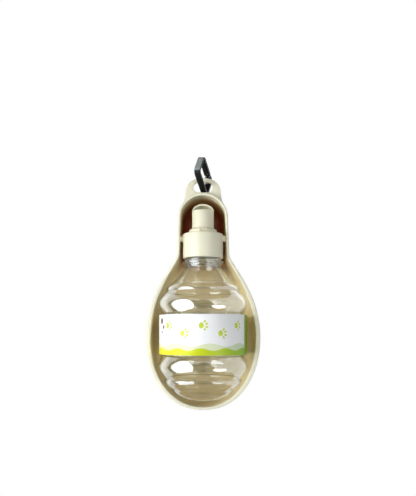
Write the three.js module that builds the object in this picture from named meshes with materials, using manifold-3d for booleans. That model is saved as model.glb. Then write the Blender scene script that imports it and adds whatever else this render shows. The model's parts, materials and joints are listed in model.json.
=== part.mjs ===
// Pet water bottle: a clear ribbed bottle that swings out of a cream drinking trough.
// Millimetres, +Z up, the open side of the trough faces -Y.
// Heights are measured from the trunnion axis that the bottle swings on. The finished
// group is lowered so that its origin is the centre of the hang hole.

import * as THREE from 'three';
import { mergeVertices } from 'three/addons/utils/BufferGeometryUtils.js';
import Module from 'manifold-3d';

const wasm = await Module();
wasm.setup();

// Driving dimensions

const hangHoleHeight = 48; // hole centre above the trunnion axis
const gap = 0.3; // running clearance between separate pieces
const roundSteps = 32; // facets round every large turned piece

const trough = {
  rimY: -6.5, // plane of the open rim
  backY: 44, // inner face of the flat back
  wall: 2.2,
  draft: 0.03, // inward lean of the side wall per millimetre of depth
  archHeight: 17.8, // centre of the round top of the neck
  archRadius: 20.7,
  neckFoot: 21.7, // half width where the neck ends
  neckFootHeight: -14,
  neckBend: [[21.8, -18.6], [24.4, -22.5]], // control points of the curve from neck to hip
  hipWidth: 26.9, // half width where the neck has flared into the shoulder
  hipHeight: -26.7,
  shoulderBend: [[39.7, -48], [48.4, -69]], // control points from hip to widest place
  widest: 48.4, // half width of the bowl
  widestHeight: -91,
  bowlLength: 64, // from the widest place to the lowest point
  bowlFullness: 0.58, // an ellipse would be 0.552
  rimNeck: 2.4, // width of the rolled rim at the neck
  rimBowl: 4.2, // and at the widest place
  rimDepth: 4.2,
  neckCorner: 9, // corner radius between wall and back, in the neck
  bowlCorner: 28, // and in the bowl
  pivotHole: 3.2,
};

const lug = {
  frontY: -1.2,
  thick: 2.8,
  halfWidth: 16.8,
  shoulderHeight: 41,
  top: 56,
  flare: 20.8, // half width where the lug runs into the arch
  flareHeight: 27.4,
  flareBend: [[19.2, 32.2], [16.8, 36]], // control points from flare to shoulder
  crownBend: [[16.8, 50], [10.5, 56]], // and from shoulder to top
  holeHalfWidth: 9,
  holeHalfHeight: 4.6,
};

const cap = {
  outer: 18.64,
  bore: 16.4,
  bottom: -18.5,
  top: 4.2,
  ceiling: 1.8, // underside of the disc that presses on the washer
  edge: 1.4, // chamfer round the top
  spoutOuter: 8,
  spoutBore: 5.2,
  spoutTop: 18,
  grooveFloor: 6.7,
  grooveBottom: 12.6,
  grooveTop: 14.8,
  plug: 2.9, // radius of the post that closes the nozzle
  plugTop: 21,
  ribThick: 1.4,
  ribTop: 8,
  trunnion: 2.9,
  trunnionReach: 23.7, // outer end of each trunnion from the middle
};

const nozzle = {
  flange: 12.9,
  foot: 10.6,
  outer: 10.1,
  bore: 8.8,
  bottom: cap.top + gap,
  flangeTop: 7.4,
  lip: 25.5, // height of the straight front lip
  dome: 32.3, // top of the hood
  shell: 1.4,
  floorBottom: 20,
  floorTop: 21.8,
  floorHole: 3.3,
  hoodY: -1.5, // the hood covers everything behind this plane
  tab: [5, 2, 1.6], // small block on the front of the flange
};

const neck = {
  outer: 15,
  bore: 13.2,
  flare: 17, // bare neck between the cap and the ring
  flareHeight: -19.3,
  ring: 19.2,
  ringTop: -21.5,
  ringBottom: -23.6,
};

const thread = {
  lead: 2.5,
  turns: 2.25,
  start: -11.5, // lower end of the ridge on the bottle
  rootWidth: 1.4,
  crestWidth: 0.7,
  bottleCrest: 16,
  capCrest: 15.5,
  sink: 0.6, // how far a ridge is rooted in its wall
  stepsPerTurn: 20,
};

const bottle = {
  wall: 0.8,
  // Rings and bulges from the base up: lower end, upper end, and how far the middle swells
  footBowl: { from: [16, -147.8], to: [28.8, -138], swell: 3.6 },
  lowerRing: { from: [31.4, -136.8], to: [35.4, -130.2], swell: 0.8 },
  lowerBulge: { from: [34.8, -129.2], to: [37.4, -107.4], swell: 3.8 },
  upperBulge: { from: [37.4, -70.3], to: [34, -49.9], swell: 4.4 },
  upperRing: { from: [33.4, -49.2], to: [28.4, -42], swell: 1.6 },
  cone: { from: [27.9, -41.2], to: [17, -27.6], swell: -0.5 },
  labelRadius: 39.7,
  labelTop: -71.7,
  labelFoot: -106,
  labelStep: { inward: 1.4, height: 0.9 }, // from the label's bed into the groove beside it
  base: -148,
  punt: 4, // height of the hollow under the base
};

const label = { inner: bottle.labelRadius + gap, thick: 0.4, top: -71, foot: -106.7 };

const washer = { inner: 9.5, outer: 14.6, bottom: gap, top: cap.ceiling - gap };

const oRing = { radius: 7.75, wire: 0.7, height: (cap.grooveBottom + cap.grooveTop) / 2 };

const carabiner = {
  length: 34,
  width: 20.2,
  strip: 2.6, // thickness of the bar in the plane of the loop
  breadth: 5.4, // breadth of the bar across that plane
  corner: 5,
  centre: new THREE.Vector3(0.34, -1.1, 58.55),
  lean: 1, // turns, in radians, about X, Y and Z
  roll: -0.45,
  yaw: -0.64,
  gateFoot: -9.4,
  gateTop: 9.6,
  pinHeight: -7,
  pin: 0.6,
  tongue: 2,
  springRadius: 0.55,
  springLength: 7,
};

// Solids and booleans

function toSolid(geometry) {
  geometry.deleteAttribute('normal');
  geometry.deleteAttribute('uv');
  const merged = mergeVertices(geometry, 1e-4);
  const index = merged.index.array;
  const corners = [];
  for (let i = 0; i < index.length; i += 3) {
    const [a, b, c] = [index[i], index[i + 1], index[i + 2]];
    if (a !== b && b !== c && c !== a) corners.push(a, b, c);
  }
  const vertProperties = new Float32Array(merged.attributes.position.array);
  const triVerts = new Uint32Array(corners);
  return new wasm.Manifold(new wasm.Mesh({ numProp: 3, vertProperties, triVerts }));
}

function toGeometry(solid) {
  const mesh = solid.getMesh();
  const geometry = new THREE.BufferGeometry();
  geometry.setAttribute('position', new THREE.BufferAttribute(mesh.vertProperties, 3));
  geometry.setIndex(new THREE.BufferAttribute(mesh.triVerts, 1));
  geometry.computeVertexNormals();
  return geometry;
}

// Turns a profile of [radius, height] pairs about Z. The profile runs up the outside.
function turned(profile, steps = roundSteps) {
  const points = profile.map(([r, z]) => new THREE.Vector2(r, z));
  return toSolid(new THREE.LatheGeometry(points, steps).rotateX(Math.PI / 2));
}

function ringProfile(inner, outer, bottom, top) {
  return [[inner, bottom], [outer, bottom], [outer, top], [inner, top], [inner, bottom]];
}

function block(width, depth, height, x, y, z) {
  return toSolid(new THREE.BoxGeometry(width, depth, height).translate(x, y, z));
}

function rod(radius, length, axis, centre, steps = 16) {
  const geometry = new THREE.CylinderGeometry(radius, radius, length, steps);
  if (axis === 'x') geometry.rotateZ(Math.PI / 2);
  if (axis === 'z') geometry.rotateX(Math.PI / 2);
  return toSolid(geometry.translate(...centre));
}

// Joins rings of points, each ring with the same count, and closes both ends.
function lofted(rings, firstCap, lastCap) {
  const count = rings[0].length;
  const position = rings.flat().flatMap((p) => [p.x, p.y, p.z]);
  const index = [];
  for (let k = 0; k + 1 < rings.length; k += 1) {
    for (let i = 0; i < count; i += 1) {
      const a = k * count + i;
      const b = k * count + ((i + 1) % count);
      index.push(a, b, a + count, b, b + count, a + count);
    }
  }
  const last = (rings.length - 1) * count;
  for (const [a, b, c] of firstCap) index.push(a, c, b);
  for (const [a, b, c] of lastCap) index.push(last + a, last + b, last + c);
  const geometry = new THREE.BufferGeometry();
  geometry.setAttribute('position', new THREE.Float32BufferAttribute(position, 3));
  geometry.setIndex(index);
  return toSolid(geometry);
}

// A helical ridge about Z whose section narrows from its root to its crest.
function helicalRidge(rootRadius, crestRadius, start) {
  const steps = Math.round(thread.turns * thread.stepsPerTurn);
  const section = [
    [rootRadius, thread.rootWidth / 2],
    [crestRadius, thread.crestWidth / 2],
    [crestRadius, -thread.crestWidth / 2],
    [rootRadius, -thread.rootWidth / 2],
  ];
  if (crestRadius < rootRadius) section.reverse();
  const rings = [];
  for (let i = 0; i <= steps; i += 1) {
    const turn = i / thread.stepsPerTurn;
    const angle = turn * Math.PI * 2;
    const climb = start + turn * thread.lead;
    const across = new THREE.Vector2(Math.cos(angle), Math.sin(angle));
    rings.push(section.map(([r, z]) => new THREE.Vector3(r * across.x, r * across.y, climb + z)));
  }
  const end = [[0, 1, 2], [0, 2, 3]];
  return lofted(rings, end, end);
}

// Trough

// Stations round the rim: a point on the cavity's edge and the outward direction there.
function rimStations() {
  const t = trough;
  const point = (x, z) => new THREE.Vector2(x, z);
  const neckBend = t.neckBend.map(([x, z]) => point(x, z));
  const shoulderBend = t.shoulderBend.map(([x, z]) => point(x, z));
  const archEnd = point(t.archRadius, t.archHeight);
  const neckEnd = point(t.neckFoot, t.neckFootHeight);
  const hip = point(t.hipWidth, t.hipHeight);
  const side = point(t.widest, t.widestHeight);
  const footSide = point(t.widest, t.widestHeight - t.bowlFullness * t.bowlLength);
  const foot = point(0, t.widestHeight - t.bowlLength);
  const footUnder = point(t.bowlFullness * t.widest, foot.y);
  const stretches = [
    [new THREE.EllipseCurve(0, t.archHeight, t.archRadius, t.archRadius, Math.PI / 2, 0, true), 9],
    [new THREE.LineCurve(archEnd, neckEnd), 3],
    [new THREE.CubicBezierCurve(neckEnd, ...neckBend, hip), 4],
    [new THREE.CubicBezierCurve(hip, ...shoulderBend, side), 7],
    [new THREE.CubicBezierCurve(side, footSide, footUnder, foot), 11],
  ];
  const right = [];
  for (const [curve, steps] of stretches) {
    for (let i = 0; i < steps; i += 1) {
      const at = curve.getPoint(i / steps);
      const along = curve.getTangent(i / steps);
      right.push({ x: at.x, z: at.y, nx: -along.y, nz: along.x });
    }
  }
  right.push({ x: 0, z: foot.y, nx: 0, nz: -1 });
  const left = right.slice(1, -1).reverse().map((s) => ({ x: -s.x, z: s.z, nx: -s.nx, nz: s.nz }));
  return right.concat(left).reverse(); // anticlockwise as seen from the front
}

// Pairs of [inset, y] from the flat back, up the outside, over the rim and down the inside.
function wallSection(station) {
  const t = trough;
  const bowl = THREE.MathUtils.smoothstep(-station.z, 18, 60);
  const corner = THREE.MathUtils.lerp(t.neckCorner, t.bowlCorner, bowl);
  const rim = t.rimNeck + (t.rimBowl - t.rimNeck) * bowl * Math.abs(station.nx);
  const bendY = t.backY - corner;
  const lean = t.draft * (bendY - t.rimY);
  const cornerSteps = 5;
  const arc = (radius) => {
    const points = [];
    for (let i = 0; i <= cornerSteps; i += 1) {
      const a = (Math.PI / 2) * (1 - i / cornerSteps);
      points.push([lean + corner - radius * Math.cos(a), bendY + radius * Math.sin(a)]);
    }
    return points;
  };
  const bead = [
    [-t.wall, t.rimY + t.rimDepth],
    [-rim, t.rimY + t.rimDepth - 1.2],
    [-rim, t.rimY + 0.8],
    [0.7 - rim, t.rimY],
    [-0.6, t.rimY],
    [0, t.rimY + 0.7],
  ];
  return [...arc(corner + t.wall), ...bead, ...arc(corner).reverse()];
}

function troughShell() {
  const stations = rimStations();
  const sections = stations.map(wallSection);
  const rings = sections[0].map((_, k) => stations.map((s, i) => {
    const [inset, y] = sections[i][k];
    return new THREE.Vector3(s.x - s.nx * inset, y, s.z - s.nz * inset);
  }));
  const flat = (ring) => THREE.ShapeUtils.triangulateShape(ring.map((p) => new THREE.Vector2(p.x, p.z)), []);
  return lofted(rings, flat(rings[0]), flat(rings.at(-1)));
}

function hangLug() {
  const outline = new THREE.Shape();
  const root = trough.archRadius + trough.wall / 2; // the lug's foot is buried in the arch wall
  const rootAngle = Math.atan2(lug.flareHeight - trough.archHeight, lug.flare);
  const [flareA, flareB] = lug.flareBend;
  const [crownA, crownB] = lug.crownBend;
  const mirrored = ([x, z]) => [-x, z];
  outline.moveTo(lug.flare, lug.flareHeight);
  outline.bezierCurveTo(...flareA, ...flareB, lug.halfWidth, lug.shoulderHeight);
  outline.bezierCurveTo(...crownA, ...crownB, 0, lug.top);
  outline.bezierCurveTo(...mirrored(crownB), ...mirrored(crownA), -lug.halfWidth, lug.shoulderHeight);
  outline.bezierCurveTo(...mirrored(flareB), ...mirrored(flareA), -lug.flare, lug.flareHeight);
  outline.absarc(0, trough.archHeight, root, Math.PI - rootAngle, rootAngle, true);
  const hole = new THREE.Path();
  const offset = lug.holeHalfWidth - lug.holeHalfHeight;
  hole.absarc(offset, hangHoleHeight, lug.holeHalfHeight, -Math.PI / 2, Math.PI / 2, false);
  hole.absarc(-offset, hangHoleHeight, lug.holeHalfHeight, Math.PI / 2, -Math.PI / 2, false);
  outline.holes.push(hole);
  const extrusion = { depth: lug.thick, bevelEnabled: false, curveSegments: 9 };
  const plate = new THREE.ExtrudeGeometry(outline, extrusion);
  return toSolid(plate.rotateX(Math.PI / 2).translate(0, lug.frontY + lug.thick, 0));
}

function makeTrough() {
  const span = (trough.neckFoot + trough.rimBowl) * 2;
  const pivotHoles = rod(trough.pivotHole, span, 'x', [0, 0, 0], 20);
  return troughShell().add(hangLug()).subtract(pivotHoles);
}

// Screw cap with its trunnions, spout tube and plug

function makeCap() {
  const c = cap;
  const shell = turned([
    [c.bore, c.bottom],
    [c.outer - 0.5, c.bottom],
    [c.outer, c.bottom + 0.5],
    [c.outer, c.top - c.edge],
    [c.outer - c.edge, c.top],
    [c.spoutOuter, c.top],
    [c.spoutOuter, c.grooveBottom],
    [c.grooveFloor, c.grooveBottom],
    [c.grooveFloor, c.grooveTop],
    [c.spoutOuter, c.grooveTop],
    [c.spoutOuter, c.spoutTop],
    [c.spoutBore, c.spoutTop],
    [c.spoutBore, c.ceiling],
    [c.bore, c.ceiling],
    [c.bore, c.bottom],
  ]);
  const ridge = helicalRidge(c.bore + thread.sink, thread.capCrest, thread.start + thread.lead / 2);
  const plugHeight = c.plugTop - c.ceiling;
  let solid = shell.add(ridge).add(rod(c.plug, plugHeight, 'z', [0, 0, c.ceiling + plugHeight / 2]));
  for (let i = 0; i < 3; i += 1) {
    const ribLength = (c.spoutBore + c.spoutOuter) / 2;
    const ribHeight = c.ribTop - c.ceiling;
    const rib = new THREE.BoxGeometry(ribLength, c.ribThick, ribHeight);
    rib.translate(ribLength / 2, 0, c.ceiling + ribHeight / 2).rotateZ((i * Math.PI * 2) / 3);
    solid = solid.add(toSolid(rib));
  }
  const root = (c.bore + c.outer) / 2;
  const reach = c.trunnionReach - root;
  for (const side of [-1, 1]) {
    solid = solid.add(rod(c.trunnion, reach, 'x', [side * (root + reach / 2), 0, 0], 20));
  }
  return solid;
}

// Nozzle: a sleeve with a finger flange, an inner floor and a hood open to the front

function makeNozzle() {
  const n = nozzle;
  const domeSteps = 6;
  const dome = (radius, top) => {
    const points = [];
    for (let i = 0; i <= domeSteps; i += 1) {
      const a = (Math.PI / 2) * (i / domeSteps);
      points.push([i === domeSteps ? 0 : radius * Math.cos(a), n.lip + (top - n.lip) * Math.sin(a)]);
    }
    return points;
  };
  const sleeve = turned([
    ...dome(n.outer - n.shell, n.dome - n.shell).reverse(),
    [n.outer - n.shell, n.floorTop],
    [n.floorHole, n.floorTop],
    [n.floorHole, n.floorBottom],
    [n.bore, n.floorBottom],
    [n.bore, n.bottom],
    [n.flange - 0.4, n.bottom],
    [n.flange, n.bottom + 0.6],
    [n.foot, n.flangeTop],
    [n.outer + 0.1, n.flangeTop + 0.9],
    ...dome(n.outer, n.dome),
  ]);
  const reach = n.flange + gap;
  const mouth = block(reach * 2, reach, reach, 0, n.hoodY - reach / 2, n.lip + reach / 2);
  const tab = block(...n.tab, 0, -n.foot - 0.9, n.bottom + 1.4);
  return sleeve.subtract(mouth).add(tab);
}

// Bottle

// Points of a ring or bulge between two [radius, height] ends, swollen outward between them.
function ring({ from, to, swell }, steps) {
  const points = [];
  for (let i = 0; i <= steps; i += 1) {
    const f = i / steps;
    const r = THREE.MathUtils.lerp(from[0], to[0], f) + swell * Math.sin(Math.PI * f);
    points.push([r, THREE.MathUtils.lerp(from[1], to[1], f)]);
  }
  return points;
}

// Moves a profile that runs up the outside inward by the thickness of the wall.
function insetProfile(profile, distance) {
  return profile.map(([r, z], i) => {
    const before = profile[Math.max(i - 1, 0)];
    const after = profile[Math.min(i + 1, profile.length - 1)];
    const along = new THREE.Vector2(after[0] - before[0], after[1] - before[1]).normalize();
    return [i === 0 ? 0 : r - along.y * distance, z + along.x * distance];
  });
}

// Body profile from the base up to the neck, with a chosen fineness for the ribs.
function bodyProfile(fine) {
  const b = bottle;
  const step = b.labelStep;
  const standRadius = b.footBowl.from[0];
  return [
    [0, b.base + b.punt],
    [standRadius - 5, b.base + b.punt * 0.5],
    [standRadius - 2.5, b.base],
    ...ring(b.footBowl, fine),
    ...ring(b.lowerRing, fine - 2),
    ...ring(b.lowerBulge, fine + 1),
    [b.labelRadius - step.inward, b.labelFoot - step.height],
    [b.labelRadius, b.labelFoot],
    [b.labelRadius, b.labelTop],
    [b.labelRadius - step.inward, b.labelTop + step.height],
    ...ring(b.upperBulge, fine + 1),
    ...ring(b.upperRing, fine - 2),
    ...ring(b.cone, 2),
  ];
}

function makeBottle() {
  const b = bottle;
  const outside = [
    ...bodyProfile(4),
    [neck.flare, neck.ringBottom - 0.6],
    [neck.ring - 0.5, neck.ringBottom],
    [neck.ring, neck.ringBottom + 0.5],
    [neck.ring, neck.ringTop - 0.5],
    [neck.ring - 0.5, neck.ringTop],
    [neck.flare, neck.ringTop + 0.4],
    [neck.flare, neck.flareHeight - 0.4],
    [neck.outer, neck.flareHeight],
    [neck.outer, 0],
  ];
  const throat = [
    [neck.bore, 0],
    [neck.bore, neck.ringBottom],
  ];
  const inside = insetProfile(bodyProfile(3), b.wall).reverse();
  const shell = turned([...outside, ...throat, ...inside]);
  return shell.add(helicalRidge(neck.outer - thread.sink, thread.bottleCrest, thread.start));
}

function makeLabel() {
  return turned(ringProfile(label.inner, label.inner + label.thick, label.foot, label.top));
}

// Seals

function makeWasher() {
  return turned(ringProfile(washer.inner, washer.outer, washer.bottom, washer.top));
}

function makeORing() {
  const torus = new THREE.TorusGeometry(oRing.radius, oRing.wire, 6, roundSteps);
  return toSolid(torus.translate(0, 0, oRing.height));
}

// Carabiner, built flat: X across the bar, Y across the loop, Z along the loop

function loopOutline(inset) {
  const c = carabiner;
  const outline = new THREE.Shape();
  const radius = c.corner - inset;
  const y = c.width / 2 - c.corner;
  const z = c.length / 2 - c.corner;
  outline.absarc(y, z, radius, 0, Math.PI / 2, false);
  outline.absarc(-y, z, radius, Math.PI / 2, Math.PI, false);
  outline.absarc(-y, -z, radius, Math.PI, Math.PI * 1.5, false);
  outline.absarc(y, -z, radius, Math.PI * 1.5, Math.PI * 2, false);
  return outline;
}

// Extrudes an outline of the YZ plane to a thickness centred on X = 0.
function slab(outline, thickness, curveSegments) {
  const flat = new THREE.ExtrudeGeometry(outline, { depth: thickness, bevelEnabled: false, curveSegments });
  flat.translate(0, 0, -thickness / 2);
  return toSolid(flat.rotateX(Math.PI / 2).rotateZ(Math.PI / 2));
}

const gateLine = carabiner.width / 2 - carabiner.strip / 2; // Y of the gate's middle
const pinHole = carabiner.pin + gap;
const tongueSlot = carabiner.tongue + gap * 2;

function makeLoop() {
  const c = carabiner;
  const outline = loopOutline(0);
  outline.holes.push(loopOutline(c.strip));
  const gateHeight = c.gateTop - c.gateFoot;
  const gateMiddle = (c.gateTop + c.gateFoot) / 2;
  const opening = block(c.breadth * 2, c.strip * 2, gateHeight, 0, gateLine, gateMiddle);
  const tongueHeight = c.pinHeight + c.strip / 2 - c.gateFoot;
  const sunk = 1;
  const tongue = block(
    c.tongue, c.strip - gap, tongueHeight + sunk, 0, gateLine, c.gateFoot + (tongueHeight - sunk) / 2,
  );
  const hole = rod(pinHole, c.breadth, 'x', [0, gateLine, c.pinHeight], 12);
  return slab(outline, c.breadth, 8).subtract(opening).add(tongue).subtract(hole);
}

function makeGate() {
  const c = carabiner;
  const half = c.strip / 2;
  const outline = new THREE.Shape();
  outline.moveTo(gateLine + half, c.gateTop - gap);
  outline.lineTo(gateLine - half, c.gateTop - gap);
  outline.absarc(gateLine, c.pinHeight, half, Math.PI, Math.PI * 2, false);
  const slotHeight = c.strip * 2 + gap * 4;
  const slotTop = c.pinHeight + half + gap * 2;
  const slot = block(tongueSlot, c.strip * 2, slotHeight, 0, gateLine, slotTop - slotHeight / 2);
  const hole = rod(pinHole, c.breadth * 2, 'x', [0, gateLine, c.pinHeight], 12);
  const boreFoot = c.pinHeight + half;
  const boreLength = c.springLength + gap * 4;
  const bore = rod(c.springRadius + gap, boreLength, 'z', [0, gateLine, boreFoot + boreLength / 2], 12);
  return slab(outline, c.breadth, 8).subtract(slot).subtract(hole).subtract(bore);
}

function makeGatePin() {
  const c = carabiner;
  return rod(c.pin, c.breadth, 'x', [0, gateLine, c.pinHeight], 12);
}

function makeGateSpring() {
  const c = carabiner;
  const foot = c.pinHeight + c.strip / 2 + gap * 2;
  return rod(c.springRadius, c.springLength, 'z', [0, gateLine, foot + c.springLength / 2], 10);
}

// Assembly

const finish = {
  cream: { color: 0xe9e5d2, roughness: 0.35, metalness: 0 },
  clearPet: { color: 0xdfe6e4, roughness: 0.05, metalness: 0, transparent: true, opacity: 0.4 },
  paper: { color: 0x9fc23c, roughness: 0.5, metalness: 0 },
  silicone: { color: 0xd8d8d4, roughness: 0.7, metalness: 0 },
  blackAluminium: { color: 0x1b1c1d, roughness: 0.45, metalness: 0.8 },
  steel: { color: 0x9a9c9e, roughness: 0.3, metalness: 1 },
};

function mesh(name, solid, look) {
  const piece = new THREE.Mesh(toGeometry(solid), new THREE.MeshStandardMaterial(look));
  piece.name = name;
  return piece;
}

const carabinerGroup = new THREE.Group();
carabinerGroup.position.copy(carabiner.centre);
carabinerGroup.rotation.set(carabiner.lean, carabiner.roll, carabiner.yaw, 'YXZ');
carabinerGroup.add(
  mesh('carabiner_body', makeLoop(), finish.blackAluminium),
  mesh('carabiner_gate', makeGate(), finish.blackAluminium),
  mesh('gate_pin', makeGatePin(), finish.steel),
  mesh('gate_spring', makeGateSpring(), finish.steel),
);

const group = new THREE.Group();
group.position.z = -hangHoleHeight;
group.add(
  mesh('trough', makeTrough(), finish.cream),
  mesh('screw_cap', makeCap(), finish.cream),
  mesh('nozzle', makeNozzle(), finish.cream),
  mesh('nozzle_o_ring', makeORing(), finish.silicone),
  mesh('sealing_washer', makeWasher(), finish.silicone),
  mesh('bottle', makeBottle(), finish.clearPet),
  mesh('label', makeLabel(), finish.paper),
  carabinerGroup,
);

export default group;
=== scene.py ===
import json
import math

import bmesh
import bpy
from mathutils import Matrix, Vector

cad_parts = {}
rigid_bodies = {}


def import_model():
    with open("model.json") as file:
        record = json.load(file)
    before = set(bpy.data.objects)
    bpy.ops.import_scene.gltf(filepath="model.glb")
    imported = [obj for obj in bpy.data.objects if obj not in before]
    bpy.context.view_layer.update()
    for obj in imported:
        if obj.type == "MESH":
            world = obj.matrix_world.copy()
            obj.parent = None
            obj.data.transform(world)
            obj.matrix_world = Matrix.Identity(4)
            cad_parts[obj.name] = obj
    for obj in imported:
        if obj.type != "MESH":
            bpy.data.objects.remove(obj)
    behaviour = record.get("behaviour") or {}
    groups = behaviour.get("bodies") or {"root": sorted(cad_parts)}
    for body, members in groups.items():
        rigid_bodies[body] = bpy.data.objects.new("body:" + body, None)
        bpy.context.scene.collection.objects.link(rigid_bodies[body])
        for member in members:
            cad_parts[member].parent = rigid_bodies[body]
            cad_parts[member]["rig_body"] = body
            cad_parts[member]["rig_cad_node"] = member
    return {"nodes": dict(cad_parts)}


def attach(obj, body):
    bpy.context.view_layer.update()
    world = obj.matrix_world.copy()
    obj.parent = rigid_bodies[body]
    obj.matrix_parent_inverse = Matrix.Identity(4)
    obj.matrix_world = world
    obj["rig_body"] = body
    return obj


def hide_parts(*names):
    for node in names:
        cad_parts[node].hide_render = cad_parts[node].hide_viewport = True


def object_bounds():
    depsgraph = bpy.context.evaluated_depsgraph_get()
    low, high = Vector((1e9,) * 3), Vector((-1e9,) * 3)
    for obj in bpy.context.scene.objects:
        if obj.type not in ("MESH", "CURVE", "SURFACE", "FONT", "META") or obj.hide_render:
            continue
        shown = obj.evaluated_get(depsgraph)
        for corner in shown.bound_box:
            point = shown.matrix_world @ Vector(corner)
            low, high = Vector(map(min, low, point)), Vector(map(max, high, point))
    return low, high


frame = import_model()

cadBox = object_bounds()
nodes = frame["nodes"]
mm = 0.001
axisDrop = 48  # heights are measured from the trunnion axis, 48 mm under the hang hole
print("frame loaded:", len(nodes), "nodes")


# small tools

def spot(x, y, z):  # millimetres from the trunnion axis, to metres in the frame
    return Vector((x, y, z - axisDrop)) * mm


def takeUp(piece):  # makes it the only selected object, and the active one
    bpy.ops.object.select_all(action='DESELECT')
    piece.select_set(True)
    bpy.context.view_layer.objects.active = piece


def editAll(piece):
    takeUp(piece)
    bpy.ops.object.mode_set(mode='EDIT')
    bpy.ops.mesh.select_all(action='SELECT')


def addModifier(piece, kind, **settings):
    takeUp(piece)
    modifier = piece.modifiers.new(kind.lower(), kind)
    for key, value in settings.items():
        setattr(modifier, key, value)
    bpy.ops.object.modifier_apply(modifier=modifier.name)


def addBody(piece, other, operation='UNION'):  # joins or cuts with another solid, which is used up
    addModifier(piece, 'BOOLEAN', object=other, operation=operation, solver='EXACT')
    bpy.data.objects.remove(other)


def roundEdges(piece, rim, segments=3, angle=30):  # bevels the edges that turn by more than the angle
    addModifier(
        piece, 'BEVEL', width=rim * mm, segments=segments,
        limit_method='ANGLE', angle_limit=math.radians(angle))


def smoothed(piece, angle=35):
    takeUp(piece)
    bpy.ops.object.shade_smooth_by_angle(angle=math.radians(angle))
    return piece


def bezier(a, b, c, d, t):  # the point at t, and the direction there
    a, b, c, d = [Vector(p) for p in (a, b, c, d)]
    s = 1 - t
    value = a * s ** 3 + b * (3 * s * s * t) + c * (3 * s * t * t) + d * t ** 3
    slope = (b - a) * (s * s) + (c - b) * (2 * s * t) + (d - c) * (t * t)
    return value, slope.normalized()


def roundedLine(points, steps=6):  # a third number at a point is the radius of its corner
    line = []
    for i, point in enumerate(points):
        corner = Vector(point[:2])
        if len(point) == 2:
            line.append(corner)
            continue
        back = Vector(points[i - 1][:2]) - corner
        ahead = Vector(points[i + 1][:2]) - corner
        reach = point[2] / math.tan(back.angle(ahead) / 2)
        first = corner + back.normalized() * min(reach, back.length * 0.49)
        last = corner + ahead.normalized() * min(reach, ahead.length * 0.49)
        for k in range(steps + 1):
            t = k / steps
            line.append(first * (1 - t) ** 2 + corner * (2 * t * (1 - t)) + last * t ** 2)
    return line


def spunPiece(name, line, steps=96, angle=360):  # draws (radius, height) points and spins them about Z
    bpy.ops.object.select_all(action='DESELECT')
    bpy.ops.mesh.primitive_plane_add(size=mm, location=spot(line[0][0], 0, line[0][1]))
    piece = bpy.context.object
    piece.name = name
    bpy.ops.object.transform_apply(location=True, rotation=True, scale=True)
    bpy.ops.object.mode_set(mode='EDIT')
    bpy.ops.mesh.merge(type='CENTER')
    for here, there in zip(line, line[1:]):
        move = ((there[0] - here[0]) * mm, 0, (there[1] - here[1]) * mm)
        bpy.ops.mesh.extrude_region_move(TRANSFORM_OT_translate={"value": move})
    bpy.ops.mesh.select_all(action='SELECT')
    bpy.ops.mesh.spin(steps=steps, angle=math.radians(angle), center=(0, 0, 0), axis=(0, 0, 1))
    bpy.ops.mesh.select_all(action='SELECT')
    bpy.ops.mesh.remove_doubles(threshold=1e-6)
    bpy.ops.mesh.normals_make_consistent(inside=False)
    bpy.ops.object.mode_set(mode='OBJECT')
    return piece


def outlinedFace(name, points):  # one flat face from (x, y, z) points in millimetres
    bpy.ops.object.select_all(action='DESELECT')
    bpy.ops.mesh.primitive_circle_add(vertices=len(points), radius=mm, fill_type='NGON')
    piece = bpy.context.object
    piece.name = name
    for vertex, point in zip(piece.data.vertices, points):
        vertex.co = spot(*point)
    return piece


def thicken(piece, depth):  # draws a flat face back along Y
    editAll(piece)
    bpy.ops.mesh.extrude_region_move(TRANSFORM_OT_translate={"value": (0, depth * mm, 0)})
    bpy.ops.mesh.select_all(action='SELECT')
    bpy.ops.mesh.normals_make_consistent(inside=False)
    bpy.ops.object.mode_set(mode='OBJECT')


def rod(radius, length, centre, axis, rim=0.0):
    turn = {'x': (0, math.pi / 2, 0), 'y': (math.pi / 2, 0, 0), 'z': (0, 0, 0)}[axis]
    bpy.ops.object.select_all(action='DESELECT')
    bpy.ops.mesh.primitive_cylinder_add(
        vertices=48, radius=radius * mm, depth=length * mm, location=spot(*centre), rotation=turn)
    piece = bpy.context.object
    bpy.ops.object.transform_apply(location=True, rotation=True, scale=True)
    if rim:
        roundEdges(piece, rim)
    return piece


def block(size, centre, rim=0.0):
    bpy.ops.object.select_all(action='DESELECT')
    bpy.ops.mesh.primitive_cube_add(size=1, location=spot(*centre), scale=[v * mm for v in size])
    piece = bpy.context.object
    bpy.ops.object.transform_apply(location=True, rotation=True, scale=True)
    if rim:
        roundEdges(piece, rim)
    return piece


def wear(piece, *finishes):  # one material for each slot, and the faces keep the slot they have
    while len(piece.data.materials) < len(finishes):
        piece.data.materials.append(None)
    for slot, material in enumerate(finishes):
        piece.data.materials[slot] = material


def dressedCopy(node, name, rim):  # a CAD piece with its edges rounded
    takeUp(nodes[node])
    bpy.ops.object.duplicate()
    piece = bpy.context.object
    piece.name = name
    piece.parent = None
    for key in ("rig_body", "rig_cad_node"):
        del piece[key]
    editAll(piece)
    bpy.ops.mesh.remove_doubles(threshold=1e-6)
    bpy.ops.mesh.dissolve_limited(angle_limit=math.radians(2))
    bpy.ops.object.mode_set(mode='OBJECT')
    roundEdges(piece, rim, angle=40)
    return smoothed(piece)


# materials

def linear(code):
    values = [int(code[i:i + 2], 16) / 255 for i in (1, 3, 5)]
    return [v / 12.92 if v <= 0.04045 else ((v + 0.055) / 1.055) ** 2.4 for v in values] + [1]


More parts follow.
